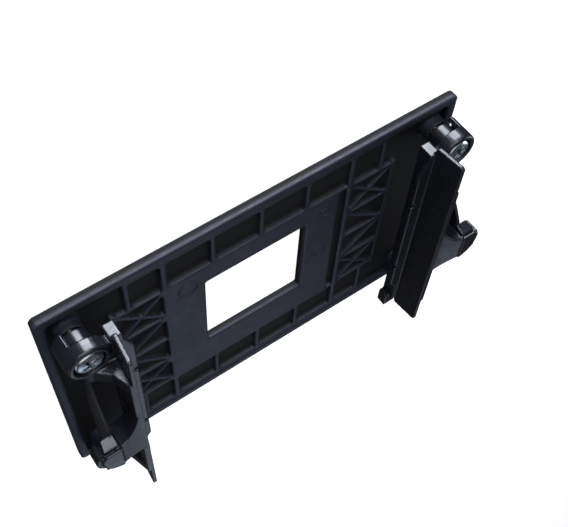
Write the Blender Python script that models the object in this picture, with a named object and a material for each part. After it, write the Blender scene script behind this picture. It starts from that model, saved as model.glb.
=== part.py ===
"""Cooler mounting kit for a desktop processor: ribbed backplate, inserts, two brackets and their screws.

The backplate lies flat with its back face on z = 0 and its ribbed face up. +X runs along the long side,
+Y along the short side, and the origin is the centre of the back face. All sizes below are in millimetres.
"""
import math

import bmesh
import bpy
from mathutils import Vector

MM = 0.001

# Fixing pattern
PITCH_X = 90.0
PITCH_Y = 54.0

# Backplate
PLATE_LENGTH = 102.4
PLATE_WIDTH = 67.0
PLATE_CORNER = 0.8
RIM_TOP = 2.4
RIM_WIDTH = 2.2
FLOOR_TOP = 0.8
RIB_TOP = 2.1
EDGE_BEVEL = 0.15
WINDOW_CENTRE = (-1.0, 2.1)
WINDOW_SIZE = (26.1, 25.5)

# Ribs on the plate
LONG_RIB_X = 23.6
LONG_RIB_WIDTH = 1.4
OUTER_RIB_X = 35.8
BORDER_WIDTH = 1.4
POCKET_Y = 21.2
DIVIDER_X = (-11.9, 0.1, 11.9)
DIVIDER_WIDTH = 1.1
END_DIVIDER_X = 32.0
STRUT_WIDTH = 0.75
GROOVE_WIDTH = 2.0
TRUSS_Y = (20.2, 9.6, 0.0, -9.6, -20.2)
EMBED = 0.3

# Bosses, inserts and screws, all on the fixing pattern
BOSS_TOP = 4.2
BOSS_RADIUS = 2.9
GAP = 0.3
INSERT_RADIUS = 1.95
INSERT_BOTTOM = 0.1
INSERT_RECESS = 0.6
INSERT_BORE = 1.38
SHANK_RADIUS = 1.3
SHANK_LENGTH = 7.0
HEAD_RADIUS = 3.2
HEAD_HEIGHT = 1.9
CROSS_LENGTH = 3.4
CROSS_WIDTH = 0.85
CROSS_DEPTH = 1.2

# Screw lobes of a bracket; the two at the -Y end sit lower by FAR_DROP
LOBE_RADIUS = 4.7
LOBE_TOP = 10.5
LOBE_THICKNESS = 2.4
FAR_DROP = 2.0
SEAT_RADIUS = 3.5
SEAT_DEPTH = 1.2
COLLAR_RISE = 0.8
COLLAR_BEVEL = 0.35
SCREW_HOLE = 1.75
SLEEVE_RADIUS = 2.9
SKIRT_INNER = 3.5
LOBE_ROOT_Y = 28.6
LOBE_SHOULDER_X = 46.5

# Foot and wall of a bracket, drawn for the +X end
FOOT_BOTTOM = 6.6
FOOT_TOP = 10.4
FOOT_OUTER_X = 40.0
FOOT_END_X = 37.5
FOOT_END_Y = 29.9
FLANGE_BOTTOM = 9.2
FLANGE_INNER_X = 35.5
FLANGE_TAPER_Y = 23.4
FLANGE_FAR_Y = -20.8
NOTCH_Y = 13.0
NOTCH_SIZE = (0.9, 1.3)
HEEL_INNER_X = 36.2
HEEL_Y = 33.4
HEEL_TOP = 9.4
WALL_INNER_X = 39.3
WALL_THICKNESS = 1.0
WALL_LEAN = 0.8
WALL_TOP = 17.7
WALL_END_Y = 32.0
LIP_OUTER_X = 40.9
LIP_BOTTOM = 12.2
GUSSET_NEAR_Y = 19.3
GUSSET_FAR_Y = 23.0
GUSSET_CURVE = ((46.6, 10.8), (44.9, 11.2), (42.3, 13.4))

# Arm, web and hook lug of a bracket
ARM_THICKNESS = 0.9
ARM_LUG_X = 47.0
ARM_LOBE_X = 46.2
ARM_TOP = 16.2
ARM_LOW_TOP = 9.4
ARM_START_Y = 5.8
ARM_END_Y = 22.0
ARM_DROP_POWER = 1.3
WEB_BOTTOM = 13.6
WEB_NEAR = (3.0, 8.0, 3.2)
WEB_FAR = (4.7, 4.0, 1.2)
LUG_TOP = 19.8
LUG_CAP_BOTTOM = 19.1
TONGUE_BOTTOM = 16.0
TONGUE_TOP = 18.7
CORE_HALF = 2.7
TONGUE_BOTTOM_EDGE = (49.0, -4.0, 4.6)
TONGUE_TOP_EDGE = (49.6, -4.2, 3.7)
CORE_OUTER_X = 50.1
LUG_LIP_X = (49.95, 50.55)
LUG_LIP_Y = (-2.0, 2.9)
LUG_PLAN = (
    (46.0, 3.3), (49.4, 3.3), (50.3, 2.7), (50.6, 1.6), (50.4, -0.6),
    (49.9, -2.2), (48.8, -3.6), (47.3, -4.5), (46.0, -4.8),
)


# ---------------------------------------------------------------- materials

def plain_material(name, colour, roughness, metallic=0.0):
    """A Principled material of one colour."""
    material = bpy.data.materials.new(name)
    material.use_nodes = True
    shader = material.node_tree.nodes["Principled BSDF"]
    shader.inputs["Base Color"].default_value = (*colour, 1.0)
    shader.inputs["Roughness"].default_value = roughness
    shader.inputs["Metallic"].default_value = metallic
    return material


# ---------------------------------------------------------------- mesh tools

def box_outline(x0, x1, y0, y1):
    """Corner points of an axis-aligned rectangle."""
    return [(x0, y0), (x1, y0), (x1, y1), (x0, y1)]


def chamfered_outline(length, width, corner):
    """A centred rectangle with 45-degree corners."""
    x = length / 2
    y = width / 2
    return [
        (x - corner, -y), (x, -y + corner), (x, y - corner), (x - corner, y),
        (-x + corner, y), (-x, y - corner), (-x, -y + corner), (-x + corner, -y),
    ]


def arc(centre, radius, start, end, steps):
    """Points along an arc, both ends included; angles in degrees."""
    points = []
    for step in range(steps + 1):
        angle = math.radians(start + (end - start) * step / steps)
        points.append((centre[0] + radius * math.cos(angle), centre[1] + radius * math.sin(angle)))
    return points


def circle(centre, radius, sides):
    """Points of a full circle."""
    return arc(centre, radius, 0, 360 * (sides - 1) / sides, sides - 1)


def bar_outline(start, end, width):
    """A straight bar of the given width between two points."""
    along = (Vector(end) - Vector(start)).normalized()
    across = Vector((-along.y, along.x)) * width / 2
    corners = (Vector(start) - across, Vector(end) - across, Vector(end) + across, Vector(start) + across)
    return [tuple(corner) for corner in corners]


def mirrored(points, side_x=1, side_y=1):
    """The same outline reflected across an axis."""
    return [(x * side_x, y * side_y) for x, y in points]


def add_loft(bm, sections):
    """Join matching rings of points into one closed solid."""
    rings = [[bm.verts.new(Vector(point) * MM) for point in section] for section in sections]
    count = len(rings[0])
    for ring, following in zip(rings, rings[1:]):
        for index in range(count):
            after = (index + 1) % count
            bm.faces.new((ring[index], ring[after], following[after], following[index]))
    bm.faces.new(rings[0][::-1])
    bm.faces.new(rings[-1])


def add_prism(bm, outline, z0, z1):
    """Extrude a flat outline between two heights."""
    add_loft(bm, [[(x, y, z) for x, y in outline] for z in (z0, z1)])


def add_side_prism(bm, profile, y0, y1):
    """Extrude an outline drawn in X and Z along Y."""
    add_loft(bm, [[(x, y, z) for x, z in profile] for y in (y0, y1)])


def finish_object(name, bm, material=None):
    """Turn a bmesh into an object whose faces point out."""
    bmesh.ops.recalc_face_normals(bm, faces=bm.faces)
    mesh = bpy.data.meshes.new(name)
    bm.to_mesh(mesh)
    bm.free()
    obj = bpy.data.objects.new(name, mesh)
    bpy.context.scene.collection.objects.link(obj)
    if material is not None:
        mesh.materials.append(material)
    return obj


def solid(name, build, material=None):
    """Make an object from a function that fills a bmesh."""
    bm = bmesh.new()
    build(bm)
    return finish_object(name, bm, material)


def apply_tool(target, tool, operation):
    """Add an exact Boolean and keep its tool out of the model."""
    tool.hide_render = True
    tool.display_type = "WIRE"
    modifier = target.modifiers.new(tool.name, "BOOLEAN")
    modifier.solver = "EXACT"
    modifier.operation = operation
    modifier.object = tool


def unite(target, name, build):
    apply_tool(target, solid(name, build), "UNION")


def cut(target, name, build):
    apply_tool(target, solid(name, build), "DIFFERENCE")


def fixings():
    """Every fixing point with its node suffix."""
    for side_x, name_x in ((-1, "left"), (1, "right")):
        for side_y, name_y in ((1, "top"), (-1, "bottom")):
            yield f"{name_x}_{name_y}", (side_x * PITCH_X / 2, side_y * PITCH_Y / 2)


# ---------------------------------------------------------------- backplate

def truss_struts():
    """Ends of the thin struts outboard of the right long rib, drawn for +X."""
    inner = [(LONG_RIB_X, y) for y in TRUSS_Y]
    outer = [(OUTER_RIB_X, y) for y in TRUSS_Y]
    for near, far in zip(inner, outer):
        yield near, far
    for near, far in ((0, 1), (1, 0), (1, 2), (3, 2), (3, 4), (4, 3)):
        yield inner[near], outer[far]


def rib_outlines():
    """Outlines of everything that stands on the plate's floor, each with its top height."""
    inside_y = PLATE_WIDTH / 2 - RIM_WIDTH
    band_y = inside_y - BORDER_WIDTH
    reach = END_DIVIDER_X + STRUT_WIDTH
    half = LONG_RIB_WIDTH / 2
    plateau_end = LONG_RIB_X - half - GROOVE_WIDTH
    yield box_outline(-LONG_RIB_X, plateau_end, -POCKET_Y, POCKET_Y), RIB_TOP - 0.01
    for side in (1, -1):
        yield box_outline(side * LONG_RIB_X - half, side * LONG_RIB_X + half, -inside_y - 0.5, inside_y + 0.5), RIB_TOP
        far_rib = mirrored(box_outline(OUTER_RIB_X - 0.5, OUTER_RIB_X + 0.5, -POCKET_Y, POCKET_Y), side)
        yield far_rib, RIB_TOP - 0.02
        yield mirrored(box_outline(-reach, reach, band_y, inside_y + 0.4), 1, side), RIB_TOP - 0.03
        yield mirrored(box_outline(-LONG_RIB_X, LONG_RIB_X, POCKET_Y - 1.0, POCKET_Y), 1, side), RIB_TOP - 0.04
        for x in DIVIDER_X:
            divider = box_outline(x - DIVIDER_WIDTH / 2, x + DIVIDER_WIDTH / 2, POCKET_Y - 0.6, band_y + 0.6)
            yield mirrored(divider, 1, side), RIB_TOP - 0.05
        for end in (1, -1):
            divider = bar_outline((END_DIVIDER_X, TRUSS_Y[0]), (END_DIVIDER_X, band_y + 0.6), DIVIDER_WIDTH)
            yield mirrored(divider, end, side), RIB_TOP - 0.05
        for number, (near, far) in enumerate(truss_struts()):
            yield mirrored(bar_outline(near, far, STRUT_WIDTH), side), RIB_TOP - 0.10 - 0.01 * number


def build_backplate(material):
    plate_outline = chamfered_outline(PLATE_LENGTH, PLATE_WIDTH, PLATE_CORNER)
    plate = solid("backplate", lambda bm: add_prism(bm, plate_outline, 0, RIM_TOP), material)
    bevel = plate.modifiers.new("edge_bevel", "BEVEL")
    bevel.width = EDGE_BEVEL * MM
    bevel.segments = 1
    bevel.limit_method = "ANGLE"

    inside = chamfered_outline(PLATE_LENGTH - 2 * RIM_WIDTH, PLATE_WIDTH - 2 * RIM_WIDTH, PLATE_CORNER)
    cut(plate, "plate_recess", lambda bm: add_prism(bm, inside, FLOOR_TOP, RIM_TOP + 1))
    for number, (outline, top) in enumerate(rib_outlines()):
        unite(plate, f"rib_{number}", lambda bm: add_prism(bm, outline, FLOOR_TOP - EMBED, top))
    for name, centre in fixings():
        unite(plate, f"boss_{name}", lambda bm: add_prism(bm, circle(centre, BOSS_RADIUS, 32), FLOOR_TOP - EMBED, BOSS_TOP))
        hole = circle(centre, INSERT_RADIUS + GAP, 32)
        cut(plate, f"boss_hole_{name}", lambda bm: add_prism(bm, hole, -1, BOSS_TOP + 1))

    x, y = WINDOW_CENTRE
    half_x = WINDOW_SIZE[0] / 2
    half_y = WINDOW_SIZE[1] / 2
    window = box_outline(x - half_x, x + half_x, y - half_y, y + half_y)
    cut(plate, "window", lambda bm: add_prism(bm, window, -1, RIM_TOP + 1))
    return plate


# ---------------------------------------------------------------- inserts and screws

def build_insert(name, centre, material):
    """A threaded bush pressed into a boss; the thread is a plain bore."""
    ring = circle((0, 0), INSERT_RADIUS, 32)
    insert = solid(name, lambda bm: add_prism(bm, ring, INSERT_BOTTOM, BOSS_TOP - INSERT_RECESS), material)
    insert.location = (centre[0] * MM, centre[1] * MM, 0)
    bore = solid(f"{name}_bore", lambda bm: add_prism(bm, circle((0, 0), INSERT_BORE, 32), -1, BOSS_TOP + 1))
    bore.location = insert.location
    apply_tool(insert, bore, "DIFFERENCE")
    insert.data.shade_smooth()
    insert.data.set_sharp_from_angle(angle=math.radians(40))
    return insert


def head_profile():
    """Radius and height up the screw, measured from under its pan head."""
    crown = HEAD_HEIGHT - 0.55
    return [
        (SHANK_RADIUS * 0.7, -SHANK_LENGTH), (SHANK_RADIUS, 0.5 - SHANK_LENGTH), (SHANK_RADIUS, 0),
        (HEAD_RADIUS, 0), (HEAD_RADIUS, crown), (HEAD_RADIUS - 0.15, crown + 0.3), (HEAD_RADIUS - 0.6, HEAD_HEIGHT),
    ]


def build_screw(name, centre, drop, material):
    """A pan-head screw with a cross recess, turning on its own axis."""
    def turned(bm):
        add_loft(bm, [[(x, y, z) for x, y in circle((0, 0), radius, 32)] for radius, z in head_profile()])

    seat = LOBE_TOP - SEAT_DEPTH + GAP - drop
    screw = solid(name, turned, material)
    screw.location = (centre[0] * MM, centre[1] * MM, seat * MM)

    def cross(bm):
        arm = CROSS_LENGTH / 2
        half = CROSS_WIDTH / 2
        outline = [
            (arm, -half), (arm, half), (half, half), (half, arm), (-half, arm), (-half, half),
            (-arm, half), (-arm, -half), (-half, -half), (-half, -arm), (half, -arm), (half, -half),
        ]
        add_prism(bm, outline, HEAD_HEIGHT - CROSS_DEPTH, HEAD_HEIGHT + 1)

    recess = solid(f"{name}_recess", cross)
    recess.location = screw.location
    apply_tool(screw, recess, "DIFFERENCE")
    screw.data.shade_smooth()
    screw.data.set_sharp_from_angle(angle=math.radians(35))
    return screw


# ---------------------------------------------------------------- bracket foot and wall

def flange_outline():
    """The thin ledge inboard of the wall, with tapered ends."""
    root = FOOT_END_X + 0.3
    return [(root, FOOT_END_Y - 1.1), (FLANGE_INNER_X, FLANGE_TAPER_Y), (FLANGE_INNER_X, FLANGE_FAR_Y),
            (root, FLANGE_FAR_Y - 3.4)]


def wall_slice(offset):
    """The leaning wall's outline at one face, with its upper corners clipped."""
    low = FOOT_TOP - 0.6
    upper = [(FOOT_END_Y - 0.4, low), (WALL_END_Y, FOOT_TOP + 0.2), (WALL_END_Y, WALL_TOP - 0.5),
             (WALL_END_Y - 0.4, WALL_TOP)]
    outline = upper + [(-y, z) for y, z in upper[::-1]]
    return [(WALL_INNER_X + offset - WALL_LEAN * (WALL_TOP - z) / (WALL_TOP - low), y, z) for y, z in outline]


def lobe_outline(side_y):
    """The plan of one screw lobe: a round nose joined to the wall."""
    centre = (PITCH_X / 2, PITCH_Y / 2)
    nose = arc(centre, LOBE_RADIUS, -58, 150, 20)
    shoulder_y = GUSSET_NEAR_Y + 1.0
    points = [(WALL_INNER_X, shoulder_y), (LOBE_SHOULDER_X, shoulder_y)] + nose + [(WALL_INNER_X, LOBE_ROOT_Y)]
    return mirrored(points, 1, side_y)


def skirt_outline(side_y):
    """The curved apron that hangs from the outer side of a lobe."""
    centre = (PITCH_X / 2, PITCH_Y / 2)
    outer = arc(centre, LOBE_RADIUS - 0.02, -105, 60, 14)
    inner = arc(centre, SKIRT_INNER, 60, -105, 14)
    return mirrored(outer + inner, 1, side_y)


def collar_rings(centre, top):
    """The raised ring around a near lobe's screw head, bevelled at its rim."""
    stations = ((LOBE_RADIUS - 0.03, top - 1.0), (LOBE_RADIUS - 0.03, top + COLLAR_RISE - COLLAR_BEVEL),
                (LOBE_RADIUS - 0.03 - COLLAR_BEVEL, top + COLLAR_RISE))
    return [[(x, y, z) for x, y in circle(centre, radius, 48)] for radius, z in stations]


def gusset_profile(drop):
    """The curved gusset between a lobe and the wall, as X and Z."""
    root = WALL_INNER_X + 0.25
    low = LOBE_TOP - LOBE_THICKNESS + 0.05 - drop
    ridge = WALL_TOP - 0.4
    curve = [(x, z - drop * min(1, (x - LIP_OUTER_X) / 3)) for x, z in GUSSET_CURVE]
    return [(root, low), (GUSSET_CURVE[0][0], low)] + curve + [(LIP_OUTER_X, ridge), (root, ridge)]


# ---------------------------------------------------------------- bracket arm, web and lug

def arm_section(y):
    """One upright slice of the outer arm; its top falls from the lug to the lobes."""
    share = min(max((abs(y) - ARM_START_Y) / (ARM_END_Y - ARM_START_Y), 0), 1)
    outer = ARM_LUG_X + (ARM_LOBE_X - ARM_LUG_X) * share
    drop = FAR_DROP * share if y < 0 else 0
    top = ARM_LOW_TOP + (ARM_TOP - ARM_LOW_TOP) * (1 - share) ** ARM_DROP_POWER - drop
    bottom = LOBE_TOP - LOBE_THICKNESS + 0.1 - drop
    inner = outer - ARM_THICKNESS
    return [(inner, y, bottom), (outer, y, bottom), (outer, y, top), (inner, y, top)]


def web_sections():
    """Slices of the web from the wall out to the lug, flared where it leaves the wall."""
    steps = 10
    start = WALL_INNER_X + 0.3
    for step in range(steps + 1):
        share = step / steps
        x = start + (ARM_LUG_X - start) * share
        near, far = (least + flare * (1 - share) ** power for least, flare, power in (WEB_NEAR, WEB_FAR))
        top = WALL_TOP - 0.02 + (LUG_TOP - 0.1 - WALL_TOP) * share ** 1.2
        yield [(x, -far, WEB_BOTTOM), (x, near, WEB_BOTTOM), (x, near, top), (x, -far, top)]


def tongue_rings():
    """The lug's tapered block, wider and further back at its top."""
    inner = ARM_LUG_X - ARM_THICKNESS
    bottom = [(x, y, TONGUE_BOTTOM) for x, y in box_outline(inner, *TONGUE_BOTTOM_EDGE)]
    top = [(x, y, TONGUE_TOP) for x, y in box_outline(inner, *TONGUE_TOP_EDGE)]
    return [bottom, top]


def build_bracket(name, side, material):
    """One clip bracket; side is +1 for the +X end and -1 for the other, which is its mirror image."""
    def flipped(build):
        def run(bm):
            build(bm)
            for vert in bm.verts:
                vert.co.x *= side
        return run

    lug_inner = ARM_LUG_X - ARM_THICKNESS
    heel = box_outline(HEEL_INNER_X, FOOT_OUTER_X - 0.2, -HEEL_Y, 1 - FOOT_END_Y)
    lip = box_outline(WALL_INNER_X, LIP_OUTER_X, -GUSSET_FAR_Y, GUSSET_FAR_Y)
    arm_stations = [ARM_END_Y * step / 12 for step in range(-12, 13)]
    core = box_outline(lug_inner, CORE_OUTER_X, -CORE_HALF, CORE_HALF)
    lug_lip = box_outline(*LUG_LIP_X, *LUG_LIP_Y)
    parts = (
        ("flange", lambda bm: add_prism(bm, flange_outline(), FLANGE_BOTTOM, FOOT_TOP - 0.02)),
        ("heel", lambda bm: add_prism(bm, heel, FOOT_BOTTOM + 0.02, HEEL_TOP)),
        ("wall", lambda bm: add_loft(bm, [wall_slice(offset) for offset in (0, WALL_THICKNESS)])),
        ("lip", lambda bm: add_prism(bm, lip, LIP_BOTTOM, WALL_TOP - 0.03)),
        ("arm", lambda bm: add_loft(bm, [arm_section(y) for y in arm_stations])),
        ("web", lambda bm: add_loft(bm, list(web_sections()))),
        ("core", lambda bm: add_prism(bm, core, TONGUE_BOTTOM + 0.1, LUG_TOP - 0.05)),
        ("tongue", lambda bm: add_loft(bm, tongue_rings())),
        ("lug_cap", lambda bm: add_prism(bm, LUG_PLAN, LUG_CAP_BOTTOM, LUG_TOP)),
        ("lug_lip", lambda bm: add_prism(bm, lug_lip, TONGUE_BOTTOM - 0.4, LUG_CAP_BOTTOM + 0.2)),
    )
    foot = box_outline(FOOT_END_X, FOOT_OUTER_X, -FOOT_END_Y, FOOT_END_Y)
    bracket = solid(name, flipped(lambda bm: add_prism(bm, foot, FOOT_BOTTOM, FOOT_TOP)), material)
    for tool_name, build in parts:
        unite(bracket, f"{name}_{tool_name}", flipped(build))

    for side_y in (1, -1):
        drop = FAR_DROP if side_y < 0 else 0
        centre = (PITCH_X / 2, side_y * PITCH_Y / 2)
        top = LOBE_TOP - drop
        bottom = top - LOBE_THICKNESS
        near, far = sorted((side_y * GUSSET_NEAR_Y, side_y * GUSSET_FAR_Y))
        sleeve = circle(centre, SLEEVE_RADIUS, 32)
        skirt = skirt_outline(side_y)
        solids = (
            ("lobe", lambda bm: add_prism(bm, lobe_outline(side_y), bottom, top)),
            ("gusset", lambda bm: add_side_prism(bm, gusset_profile(drop), near, far)),
            ("sleeve", lambda bm: add_prism(bm, sleeve, BOSS_TOP + GAP, bottom + EMBED)),
            ("skirt", lambda bm: add_prism(bm, skirt, BOSS_TOP + GAP + 0.1, bottom + EMBED)),
        )
        for tool_name, build in solids:
            unite(bracket, f"{name}_{tool_name}_{side_y}", flipped(build))
        if side_y > 0:
            unite(bracket, f"{name}_collar", flipped(lambda bm: add_loft(bm, collar_rings(centre, top))))
        seat = circle(centre, SEAT_RADIUS, 32)
        hole = circle(centre, SCREW_HOLE, 32)
        notch_y = side_y * NOTCH_Y
        notch = box_outline(FLANGE_INNER_X - 1, FLANGE_INNER_X + NOTCH_SIZE[0],
                            notch_y - NOTCH_SIZE[1] / 2, notch_y + NOTCH_SIZE[1] / 2)
        holes = (
            ("seat", lambda bm: add_prism(bm, seat, top - SEAT_DEPTH, top + 3)),
            ("hole", lambda bm: add_prism(bm, hole, 0, top + 1)),
            ("notch", lambda bm: add_prism(bm, notch, FOOT_BOTTOM - 1, FOOT_TOP + 1)),
        )
        for tool_name, build in holes:
            cut(bracket, f"{name}_{tool_name}_{side_y}", flipped(build))
    return bracket


# ---------------------------------------------------------------- assembly

def build_model():
    for obj in list(bpy.data.objects):
        bpy.data.objects.remove(obj, do_unlink=True)

    black = plain_material("black_moulded_plastic", (0.021, 0.022, 0.026), 0.42)
    bracket_black = plain_material("black_bracket_plastic", (0.018, 0.018, 0.022), 0.34)
    brass = plain_material("brass", (0.62, 0.44, 0.17), 0.32, 1.0)
    zinc = plain_material("bright_zinc", (0.62, 0.68, 0.72), 0.26, 1.0)

    build_backplate(black)
    for name, centre in fixings():
        drop = FAR_DROP if centre[1] < 0 else 0
        build_insert(f"insert_{name}", centre, brass)
        build_screw(f"screw_{name}", centre, drop, zinc)
    build_bracket("bracket_left", -1, bracket_black)
    build_bracket("bracket_right", 1, bracket_black)


build_model()
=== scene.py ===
"""Looks for a processor-cooler mounting kit: moulded plastic, zinc screws, brass inserts, pale studio.

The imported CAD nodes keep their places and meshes. Modifiers soften their edges, procedural materials
finish them, and detailed screws and moulding marks are added. Lengths are in metres.
"""
import math

import bmesh
import bpy
from mathutils import Matrix, Vector


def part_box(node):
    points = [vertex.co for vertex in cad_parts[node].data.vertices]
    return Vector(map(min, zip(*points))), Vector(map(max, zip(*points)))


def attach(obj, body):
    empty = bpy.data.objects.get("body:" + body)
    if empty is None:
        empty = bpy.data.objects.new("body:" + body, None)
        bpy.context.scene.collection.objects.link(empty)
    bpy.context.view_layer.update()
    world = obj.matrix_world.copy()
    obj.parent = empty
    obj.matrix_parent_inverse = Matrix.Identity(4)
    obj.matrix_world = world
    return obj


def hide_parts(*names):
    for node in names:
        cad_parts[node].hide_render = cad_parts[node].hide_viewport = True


MM = 0.001
SIDES = ("left", "right")
ENDS = ("top", "bottom")

# Plate heights above its back face
POCKET_BAND = (1.0 * MM, 1.7 * MM)   # below it lie the pockets, above it the ribs
BOSS_BAND = (2.5 * MM, 2.9 * MM)     # above it stand the bosses
MARK_HEIGHT = 2.09 * MM              # the middle of the ejector rings' thickness, level with the plateau

# Pocket finish: matt, and painted darker as shade in the pockets; the bosses mostly take the same
POCKET_SHADE_DEEP = (0.0012, 0.0012, 0.0017)
POCKET_SHADE_FACE = (0.0022, 0.0022, 0.0030)
POCKET_ROUGHNESS = 0.75
BOSS_SHARE = 0.25                    # how much of the face finish the bosses keep

# Ejector rings: name, centre, radius and thickness in millimetres
EJECTOR_MARKS = (
    ("ejector_mark_left", (-18.4, 16.3), 2.3, 0.20),
    ("ejector_mark_right_top", (17.0, 16.1), 1.3, 0.17),
    ("ejector_mark_right_middle", (16.6, 1.2), 1.9, 0.18),
)

# Screws
SHANK_RADIUS = 1.3 * MM
HEAD_HEIGHT = 1.9 * MM
THREAD_PITCH = 0.5 * MM
THREAD_DEPTH = 0.17 * MM
RECESS_TURN = math.radians(20)
SHARP_ANGLE = math.radians(38)

# Studio
FLOOR_HALF = 6.0
FLOOR_HEIGHT = -0.02 * MM
DOME_RADIUS = 5.9
DOME_RINGS = tuple(math.radians(-8 + 10 * step) for step in range(10))
WORLD_COLOUR = (0.95, 0.96, 1.0, 1.0)
WORLD_STRENGTH = 0.045
SUN_POWER = 0.75
SUN_ANGLE = math.radians(35)
SUN_DIRECTION = (-0.15, -0.72, -0.68)

# Lamps: name, position, aim, size, watts and colour
LAMPS = (
    ("key", (0.20, 0.52, -0.26), (0, 0, 0), (0.46, 0.14), 4.8, (0.84, 0.89, 1.0)),
    ("side", (-0.08, 0.62, 0.12), (0, 0, 0.01), (0.60, 0.18), 3.2, (0.84, 0.90, 1.0)),
    ("overhead", (-0.15, 0.10, 0.75), (0, 0, 0), (0.6, 0.6), 1.0, (1.0, 1.0, 1.0)),
    ("right", (0.60, -0.12, 0.30), (0, 0, 0), (0.45, 0.30), 1.0, (0.86, 0.91, 1.0)),
    ("left", (-0.55, -0.40, 0.30), (0, 0, 0), (0.40, 0.25), 0.25, (0.80, 0.88, 1.0)),
    ("back", (0.05, -0.55, 0.29), (0, 0, 0), (0.36, 0.22), 0.24, (0.72, 0.82, 1.0)),
)

# Camera
CAMERA_POSITION = Vector((-65.65, 185.25, 90.06)) * MM
CAMERA_RIGHT = Vector((0.82124, 0.02691, 0.56995))
CAMERA_UP = Vector((0.47556, 0.51969, -0.70977))
CAMERA_LENS = 59.67
CAMERA_SHIFT = (0.034, 0.021)

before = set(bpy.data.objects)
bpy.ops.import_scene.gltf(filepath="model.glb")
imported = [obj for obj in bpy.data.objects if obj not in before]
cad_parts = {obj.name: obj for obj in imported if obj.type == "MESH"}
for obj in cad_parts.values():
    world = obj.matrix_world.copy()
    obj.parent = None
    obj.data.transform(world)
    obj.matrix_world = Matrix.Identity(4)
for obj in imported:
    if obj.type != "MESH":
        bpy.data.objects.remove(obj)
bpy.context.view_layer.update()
scene = bpy.context.scene
scene.view_settings.view_transform = "Standard"


# ---------------------------------------------------------------- node helpers

class Shader:
    """A small wrapper that adds and links nodes of one material."""

    def __init__(self, name):
        self.material = bpy.data.materials.new(name)
        self.material.use_nodes = True
        self.nodes = self.material.node_tree.nodes
        self.links = self.material.node_tree.links
        self.principled = self.nodes["Principled BSDF"]
        self.place = self.nodes.new("ShaderNodeTexCoord").outputs["Object"]

    def add(self, kind, inputs=None, **settings):
        node = self.nodes.new(kind)
        for key, value in settings.items():
            setattr(node, key, value)
        for key, value in (inputs or {}).items():
            if isinstance(value, bpy.types.NodeSocket):
                self.links.new(value, node.inputs[key])
            else:
                node.inputs[key].default_value = value
        return node

    def noise(self, scale, detail=2.0, roughness=0.5, distortion=0.0):
        """Noise in the piece's own space; the scale is in waves per metre."""
        values = {"Vector": self.place, "Scale": scale, "Detail": detail, "Roughness": roughness,
                  "Distortion": distortion}
        return self.add("ShaderNodeTexNoise", values).outputs["Fac"]

    def spread(self, value, low, high, source=(0.3, 0.7)):
        """Map a value from its source range onto another."""
        values = {"Value": value, "From Min": source[0], "From Max": source[1], "To Min": low, "To Max": high}
        return self.add("ShaderNodeMapRange", values).outputs["Result"]

    def mix_colour(self, factor, first, second):
        node = self.add("ShaderNodeMix", {"Factor": factor}, data_type="RGBA")
        for index, value in ((6, first), (7, second)):
            if isinstance(value, bpy.types.NodeSocket):
                self.links.new(value, node.inputs[index])
            else:
                node.inputs[index].default_value = (*value, 1.0)
        return node.outputs[2]

    def product(self, first, second):
        return self.add("ShaderNodeMath", {0: first, 1: second}, operation="MULTIPLY").outputs[0]

    def bump(self, height, distance, strength, normal=None):
        values = {"Height": height, "Distance": distance, "Strength": strength}
        if normal is not None:
            values["Normal"] = normal
        return self.add("ShaderNodeBump", values).outputs["Normal"]

    def finish(self, colour, roughness=None, normal=None, **constants):
        """Link the computed inputs, and set the constant ones on the shader's own sockets."""
        for key, value in (("Base Color", colour), ("Roughness", roughness), ("Normal", normal)):
            if value is not None:
                self.links.new(value, self.principled.inputs[key])
        for key, value in constants.items():
            self.principled.inputs[key].default_value = value
        return self.material


def moulded_plastic(name, deep, face, worn_and_highlight, roughness, grain_size, grain_strength, specular, edge,
                    painted_pocket_shade=False):
    """Black moulded plastic: eroded grain, faint flow marks, and edges painted a little paler, partly rubbed
    wear and partly a painted edge highlight.

    With the pocket option, the surface low on the plate is matt and painted darker, a painted shade in its
    recesses, and its bosses mostly take the same darker, matt finish.
    """
    shader = Shader(name)
    cloud = shader.spread(shader.noise(70.0, 4.0, 0.6), 0.0, 1.0)
    flow = shader.noise(260.0, 3.0, 0.55, 0.8)
    grain = shader.noise(1.0 / grain_size, 3.0, 0.7)
    colour = shader.mix_colour(cloud, deep, face)
    rough = shader.spread(flow, *roughness)
    if painted_pocket_shade:
        # Painted shade: the pockets low on the plate get a darker colour, and the bosses mostly get it too.
        height = shader.add("ShaderNodeSeparateXYZ", {"Vector": shader.place}).outputs["Z"]
        above_pockets = shader.spread(height, 0.0, 1.0, POCKET_BAND)
        below_bosses = shader.spread(height, 1.0, BOSS_SHARE, BOSS_BAND)
        outside_pocket_shade = shader.product(above_pockets, below_bosses)
        colour = shader.mix_colour(outside_pocket_shade, shader.mix_colour(cloud, POCKET_SHADE_DEEP, POCKET_SHADE_FACE), colour)
        blend = {"Factor": outside_pocket_shade, "A": POCKET_ROUGHNESS, "B": rough}
        rough = shader.add("ShaderNodeMix", blend).outputs["Result"]
    # Paler edges: partly rubbed wear, partly a painted edge highlight.
    curve = shader.add("ShaderNodeNewGeometry").outputs["Pointiness"]
    wear_and_highlight = shader.product(shader.spread(curve, 0.0, 1.0, (0.54, 0.70)), shader.spread(flow, 0.35, 1.0))
    colour = shader.mix_colour(wear_and_highlight, colour, worn_and_highlight)
    rounded = shader.add("ShaderNodeBevel", {"Radius": edge}, samples=6).outputs["Normal"]
    soft = shader.bump(flow, 0.05 * MM, 0.12, rounded)
    normal = shader.bump(grain, 0.06 * MM, grain_strength, soft)
    return shader.finish(colour, rough, normal, **{"Specular IOR Level": specular})


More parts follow.
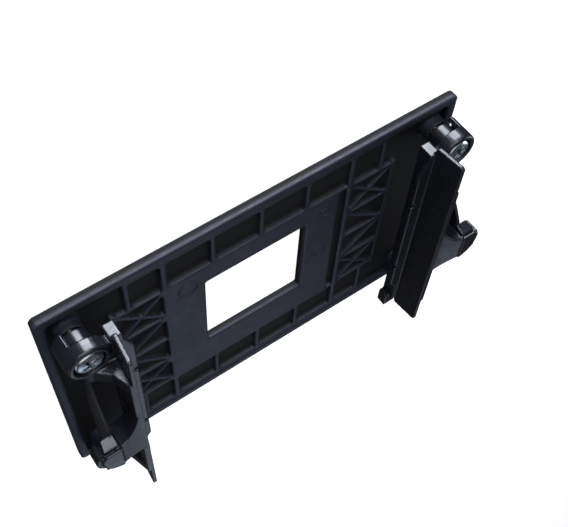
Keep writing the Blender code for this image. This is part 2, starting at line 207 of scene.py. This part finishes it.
def plated_zinc(name, dull, clear, roughness):
    """Bright zinc with a thin blue passivation film and fine polishing scratches."""
    shader = Shader(name)
    film = shader.noise(420.0, 3.0, 0.6, 0.4)
    scratch = shader.noise(2600.0, 2.0, 0.6)
    colour = shader.mix_colour(shader.spread(film, 0.0, 1.0), dull, clear)
    rough = shader.spread(scratch, roughness, roughness + 0.14)
    normal = shader.bump(scratch, 0.02 * MM, 0.04)
    return shader.finish(colour, rough, normal, Metallic=1.0)


def turned_brass(name):
    """Machined brass, slightly dulled."""
    shader = Shader(name)
    tone = shader.noise(500.0, 3.0, 0.5)
    lines = shader.add("ShaderNodeTexWave", {"Vector": shader.place, "Scale": 1500.0, "Distortion": 0.6},
                       wave_type="RINGS", rings_direction="Z").outputs["Fac"]
    colour = shader.mix_colour(shader.spread(tone, 0.0, 1.0), (0.52, 0.34, 0.11), (0.72, 0.52, 0.22))
    rough = shader.spread(tone, 0.24, 0.40)
    normal = shader.bump(lines, 0.01 * MM, 0.2)
    return shader.finish(colour, rough, normal, Metallic=1.0)


def studio_paper(name, scale, dark, pale, roughness, specular, glow):
    """Seamless paper that lights itself, so that it renders near white."""
    shader = Shader(name)
    tone = shader.noise(scale, 2.0)
    colour = shader.mix_colour(shader.spread(tone, 0.0, 1.0), dark, pale)
    shader.principled.inputs["Emission Color"].default_value = (1.0, 1.0, 1.0, 1.0)
    constants = {"Roughness": roughness, "Specular IOR Level": specular, "Emission Strength": glow}
    return shader.finish(colour, **constants)


# The plate carries painted shade in its pockets.
plate_black = moulded_plastic(
    "plate_black", deep=(0.0120, 0.0138, 0.0235), face=(0.0175, 0.0198, 0.0325), worn_and_highlight=(0.030, 0.033, 0.046),
    roughness=(0.42, 0.52), grain_size=0.32 * MM, grain_strength=0.60, specular=0.34, edge=0.16 * MM,
    painted_pocket_shade=True)
bracket_black = moulded_plastic(
    "bracket_black", deep=(0.0042, 0.0046, 0.0070), face=(0.0072, 0.0078, 0.0115), worn_and_highlight=(0.018, 0.019, 0.026),
    roughness=(0.24, 0.33), grain_size=0.30 * MM, grain_strength=0.06, specular=0.5, edge=0.14 * MM)
zinc = plated_zinc("bright_zinc", dull=(0.58, 0.71, 0.80), clear=(0.84, 0.88, 0.88), roughness=0.17)
# Dark zinc for the cross recess: painted shade in the recess.
recess_painted_shade_zinc = plated_zinc("recess_painted_shade_zinc", dull=(0.05, 0.08, 0.10), clear=(0.16, 0.20, 0.22), roughness=0.34)
brass = turned_brass("turned_brass")
floor_paper = studio_paper(
    "studio_floor", scale=3.0, dark=(0.90, 0.905, 0.91), pale=(0.93, 0.93, 0.935),
    roughness=0.9, specular=0.1, glow=0.80)
backdrop_paper = studio_paper(
    "studio_backdrop", scale=1.5, dark=(0.0, 0.0, 0.0), pale=(0.01, 0.01, 0.01),
    roughness=1.0, specular=0.0, glow=0.93)


# ---------------------------------------------------------------- CAD nodes

def dress(node, material):
    """Give a CAD node its finish in every slot."""
    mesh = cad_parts[node].data
    if not mesh.materials:
        mesh.materials.append(material)
    for slot in range(len(mesh.materials)):
        mesh.materials[slot] = material


def soften(node, voxel, rounds):
    """Turn a faceted node into a fine surface with small fillets, as a moulding has."""
    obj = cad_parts[node]
    weld = obj.modifiers.new("weld", "WELD")
    weld.merge_threshold = 0.01 * MM
    remesh = obj.modifiers.new("skin", "REMESH")
    remesh.mode = "VOXEL"
    remesh.voxel_size = voxel
    remesh.use_smooth_shade = True
    smooth = obj.modifiers.new("fillet", "SMOOTH")
    smooth.factor = 0.5
    smooth.iterations = rounds


dress("backplate", plate_black)
soften("backplate", 0.31 * MM, 1)
for side in SIDES:
    dress(f"bracket_{side}", bracket_black)
    soften(f"bracket_{side}", 0.155 * MM, 6)
    for end in ENDS:
        dress(f"insert_{side}_{end}", brass)


# ---------------------------------------------------------------- new pieces

def plain_object(name, bm, *materials):
    """Turn a bmesh into an object that isn't linked to the scene yet."""
    mesh = bpy.data.meshes.new(name)
    bm.to_mesh(mesh)
    bm.free()
    for material in materials:
        mesh.materials.append(material)
    return bpy.data.objects.new(name, mesh)


def make_object(name, bm, material, body):
    """Link a finished bmesh as a piece that rides on a CAD body."""
    bmesh.ops.recalc_face_normals(bm, faces=bm.faces)
    obj = plain_object(name, bm, material)
    scene.collection.objects.link(obj)
    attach(obj, body)
    return obj


def ring_of(bm, radius, z, sides, centre):
    """A level ring of vertices around a centre."""
    return [bm.verts.new((centre.x + radius * math.cos(math.tau * step / sides),
                          centre.y + radius * math.sin(math.tau * step / sides), z)) for step in range(sides)]


def bridge(bm, lower, upper):
    """Join two rings of the same length with quads."""
    for index in range(len(lower)):
        after = (index + 1) % len(lower)
        bm.faces.new((lower[index], lower[after], upper[after], upper[index]))


def screw_surface(bm, centre, bottom, seat, top, head_radius):
    """A pan-head screw: pointed tip, rolled thread, filleted neck and a crowned head."""
    sides = 64
    rows_per_turn = 8
    neck = 1.2 * MM
    tip_length = 0.6 * MM
    tip_share = 0.72
    run_out = 1.0 * MM
    crown = 0.95 * MM
    eye = 0.4 * MM
    thread_end = seat - neck
    rows = []
    z = bottom
    while z < thread_end:
        taper = min(1.0, tip_share + (1 - tip_share) * (z - bottom) / tip_length)
        fade = min(1.0, (thread_end - z) / run_out)
        row = []
        for index in range(sides):
            turn = index / sides
            phase = (z / THREAD_PITCH - turn) % 1.0
            groove = abs(phase - 0.5) * 2
            radius = SHANK_RADIUS * taper - THREAD_DEPTH * groove * fade
            angle = math.tau * turn
            row.append(bm.verts.new((centre.x + radius * math.cos(angle),
                                     centre.y + radius * math.sin(angle), z)))
        rows.append(row)
        z += THREAD_PITCH / rows_per_turn
    height = top - seat
    rim = seat + 0.45 * height
    profile = [
        (SHANK_RADIUS, thread_end),
        (SHANK_RADIUS, seat - 0.25 * MM),
        (SHANK_RADIUS + 0.06 * MM, seat - 0.08 * MM),
        (SHANK_RADIUS + 0.25 * MM, seat),
        (head_radius - 0.12 * MM, seat),
        (head_radius, seat + 0.10 * MM),
        (head_radius, rim),
    ]
    for share in (0.2, 0.4, 0.6, 0.8, 1.0):
        bend = math.radians(90 * share)
        profile.append((head_radius - crown * (1 - math.cos(bend)), rim + 0.40 * height * math.sin(bend)))
    for share in (0.35, 0.7, 1.0):
        radius = (head_radius - crown) * (1 - share) + eye * share
        profile.append((radius, top - 0.15 * height * (1 - share) ** 2))
    for radius, height_at in profile:
        rows.append(ring_of(bm, radius, height_at, sides, centre))
    for lower, upper in zip(rows, rows[1:]):
        bridge(bm, lower, upper)
    bm.faces.new(rows[0][::-1])
    bm.faces.new(rows[-1])


def cross_recess(name, centre, top):
    """The tapered cutter of a cross recess, with a small dimple at its middle."""
    bm = bmesh.new()
    rings = []
    turned = Matrix.Rotation(RECESS_TURN, 2)
    levels = (
        (0.4 * MM, 2.15 * MM, 0.56 * MM),
        (-0.9 * MM, 1.15 * MM, 0.32 * MM),
        (-1.3 * MM, 0.42 * MM, 0.22 * MM),
    )
    for rise, arm, half in levels:
        outline = [(arm, -half), (arm, half), (half, half), (half, arm), (-half, arm), (-half, half),
                   (-arm, half), (-arm, -half), (-half, -half), (-half, -arm), (half, -arm), (half, -half)]
        rings.append([bm.verts.new((*(centre.xy + turned @ Vector(point)), top + rise)) for point in outline])
    for upper, lower in zip(rings, rings[1:]):
        bridge(bm, lower, upper)
    bm.faces.new(rings[0])
    bm.faces.new(rings[-1][::-1])
    bmesh.ops.recalc_face_normals(bm, faces=bm.faces)
    cutter = plain_object(name, bm, zinc, recess_painted_shade_zinc)
    # All cutter faces take the dark zinc, painted shade inside the cross recess.
    for face in cutter.data.polygons:
        face.material_index = 1
    return cutter


def apply_cut(target, cutter):
    """Subtract the cutter from the target for good, and drop the cutter."""
    scene.collection.objects.link(cutter)
    modifier = target.modifiers.new("cut", "BOOLEAN")
    modifier.solver = "EXACT"
    modifier.operation = "DIFFERENCE"
    modifier.object = cutter
    evaluated = target.evaluated_get(bpy.context.evaluated_depsgraph_get())
    cut_mesh = bpy.data.meshes.new_from_object(evaluated)
    target.modifiers.clear()
    target.data = cut_mesh
    bpy.data.objects.remove(cutter, do_unlink=True)


for side in SIDES:
    for end in ENDS:
        node = f"screw_{side}_{end}"
        low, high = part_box(node)
        middle = (low + high) / 2
        screw_bm = bmesh.new()
        screw_surface(screw_bm, middle, low.z, high.z - HEAD_HEIGHT, high.z, (high.x - low.x) / 2)
        screw = make_object(f"{node}_detail", screw_bm, zinc, f"screw_body_{side}_{end}")
        # Slot for the dark recess zinc, painted shade in the cross recess.
        screw.data.materials.append(recess_painted_shade_zinc)
        apply_cut(screw, cross_recess("recess", middle, high.z))
        screw.data.shade_smooth()
        screw.data.set_sharp_from_angle(angle=SHARP_ANGLE)
        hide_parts(node)


def ejector_ring(name, centre, radius, tube, z):
    """A thin raised ring, the witness line of an ejector pin."""
    sides, around = 72, 10
    bm = bmesh.new()
    rows = []
    for step in range(around):
        angle = math.tau * step / around
        rows.append(ring_of(bm, radius + tube * math.cos(angle), z + tube * math.sin(angle), sides, centre))
    for index in range(around):
        bridge(bm, rows[index], rows[(index + 1) % around])
    ring = make_object(name, bm, plate_black, "plate")
    ring.data.shade_smooth()


for mark, (x, y), mark_radius, thickness in EJECTOR_MARKS:
    ejector_ring(mark, Vector((x * MM, y * MM, 0)), mark_radius * MM, thickness * MM, MARK_HEIGHT)


# ---------------------------------------------------------------- studio

def area_light(name, position, aim, size, power, colour):
    data = bpy.data.lights.new(name, "AREA")
    data.shape = "RECTANGLE"
    data.size, data.size_y = size
    data.energy = power
    data.color = colour
    lamp = bpy.data.objects.new(name, data)
    lamp.location = position
    lamp.rotation_euler = (Vector(aim) - Vector(position)).to_track_quat("-Z", "Y").to_euler()
    scene.collection.objects.link(lamp)


# One lamp stands lower than the floor, so the floor casts no shadow and stays out of reflections.
floor_bm = bmesh.new()
bmesh.ops.create_grid(floor_bm, x_segments=1, y_segments=1, size=FLOOR_HALF)
floor = plain_object("floor", floor_bm, floor_paper)
floor.location.z = FLOOR_HEIGHT
scene.collection.objects.link(floor)
floor.visible_glossy = False
floor.visible_shadow = False

# The dome closes the view in low shots, and lights nothing.
backdrop_bm = bmesh.new()
backdrop_rings = [
    ring_of(backdrop_bm, DOME_RADIUS * math.cos(rise), DOME_RADIUS * math.sin(rise), 64, Vector((0, 0, 0)))
    for rise in DOME_RINGS
]
for lower_ring, upper_ring in zip(backdrop_rings, backdrop_rings[1:]):
    bridge(backdrop_bm, lower_ring, upper_ring)
backdrop_bm.faces.new(backdrop_rings[-1])
backdrop = plain_object("backdrop", backdrop_bm, backdrop_paper)
scene.collection.objects.link(backdrop)
backdrop.visible_glossy = False
backdrop.visible_diffuse = False
backdrop.visible_shadow = False

world = bpy.data.worlds.new("studio")
world.use_nodes = True
background = world.node_tree.nodes["Background"]
background.inputs["Color"].default_value = WORLD_COLOUR
background.inputs["Strength"].default_value = WORLD_STRENGTH
scene.world = world

for lamp_row in LAMPS:
    area_light(*lamp_row)

sun_data = bpy.data.lights.new("window_light", "SUN")
sun_data.energy = SUN_POWER
sun_data.angle = SUN_ANGLE
sun = bpy.data.objects.new("window_light", sun_data)
sun.rotation_euler = Vector(SUN_DIRECTION).to_track_quat("-Z", "Y").to_euler()
scene.collection.objects.link(sun)

camera_data = bpy.data.cameras.new("camera")
camera_data.lens = CAMERA_LENS
camera_data.sensor_width = 36.0
camera_data.shift_x, camera_data.shift_y = CAMERA_SHIFT
camera_data.clip_start = 0.01
camera_data.clip_end = 20.0
camera = bpy.data.objects.new("camera", camera_data)
axes = Matrix((CAMERA_RIGHT, CAMERA_UP, CAMERA_RIGHT.cross(CAMERA_UP))).transposed()
camera.matrix_world = Matrix.Translation(CAMERA_POSITION) @ axes.to_4x4()
scene.collection.objects.link(camera)
scene.camera = camera
